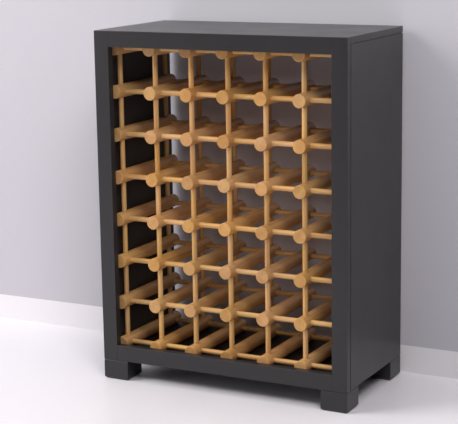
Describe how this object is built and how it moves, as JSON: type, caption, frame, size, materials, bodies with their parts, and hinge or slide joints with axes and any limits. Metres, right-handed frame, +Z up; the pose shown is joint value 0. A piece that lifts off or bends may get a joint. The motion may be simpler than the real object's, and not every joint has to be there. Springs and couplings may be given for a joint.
{
  "type": "wine rack",
  "caption": "Free-standing cabinet wine rack: round wooden rods joined by dowels form bottle cells inside an open-backed painted carcass on block feet.",
  "frame": {"origin": "on the floor, under the middle of the carcass", "axes": "+X to the viewer's right from the front, +Y from front to back, +Z up"},
  "size_m": [0.66, 0.34, 0.87],
  "materials": {
    "charcoal_paint": "board with satin charcoal paint",
    "rod_wood": "clear-finished pale hardwood, turned round",
    "dowel_wood": "clear-finished pale hardwood, turned round",
    "peg_wood": "raw beech, glued in",
    "zinc_steel": "bright zinc plate",
    "cam_metal": "die-cast zinc alloy, satin"
  },
  "bodies": {
    "root": {"left_side_panel": "charcoal_paint", "right_side_panel": "charcoal_paint", "top_panel": "charcoal_paint", "bottom_panel": "charcoal_paint", "left_stile": "charcoal_paint", "right_stile": "charcoal_paint", "top_rail": "charcoal_paint", "bottom_rail": "charcoal_paint", "rear_stretcher": "charcoal_paint", "front_left_foot": "charcoal_paint", "front_right_foot": "charcoal_paint", "rear_left_foot": "charcoal_paint", "rear_right_foot": "charcoal_paint", "rods_row_1": "rod_wood", "rods_row_2": "rod_wood", "rods_row_3": "rod_wood", "rods_row_4": "rod_wood", "rods_row_5": "rod_wood", "rods_row_6": "rod_wood", "rods_row_7": "rod_wood", "rods_row_8": "rod_wood", "front_crossbars_row_1": "dowel_wood", "front_crossbars_row_2": "dowel_wood", "front_crossbars_row_3": "dowel_wood", "front_crossbars_row_4": "dowel_wood", "front_crossbars_row_5": "dowel_wood", "front_crossbars_row_6": "dowel_wood", "front_crossbars_row_7": "dowel_wood", "front_crossbars_row_8": "dowel_wood", "rear_crossbars_row_1": "dowel_wood", "rear_crossbars_row_2": "dowel_wood", "rear_crossbars_row_3": "dowel_wood", "rear_crossbars_row_4": "dowel_wood", "rear_crossbars_row_5": "dowel_wood", "rear_crossbars_row_6": "dowel_wood", "rear_crossbars_row_7": "dowel_wood", "rear_crossbars_row_8": "dowel_wood", "front_uprights_column_1": "dowel_wood", "front_uprights_column_2": "dowel_wood", "front_uprights_column_3": "dowel_wood", "front_uprights_column_4": "dowel_wood", "front_uprights_column_5": "dowel_wood", "front_uprights_column_6": "dowel_wood", "front_uprights_column_7": "dowel_wood", "rear_uprights_column_1": "dowel_wood", "rear_uprights_column_2": "dowel_wood", "rear_uprights_column_3": "dowel_wood", "rear_uprights_column_4": "dowel_wood", "rear_uprights_column_5": "dowel_wood", "rear_uprights_column_6": "dowel_wood", "rear_uprights_column_7": "dowel_wood", "joint_pegs": "peg_wood", "cam_bolts": "zinc_steel", "foot_screws": "zinc_steel", "rack_screws": "zinc_steel", "cam_locks": "cam_metal"}
  },
  "joints": []
}
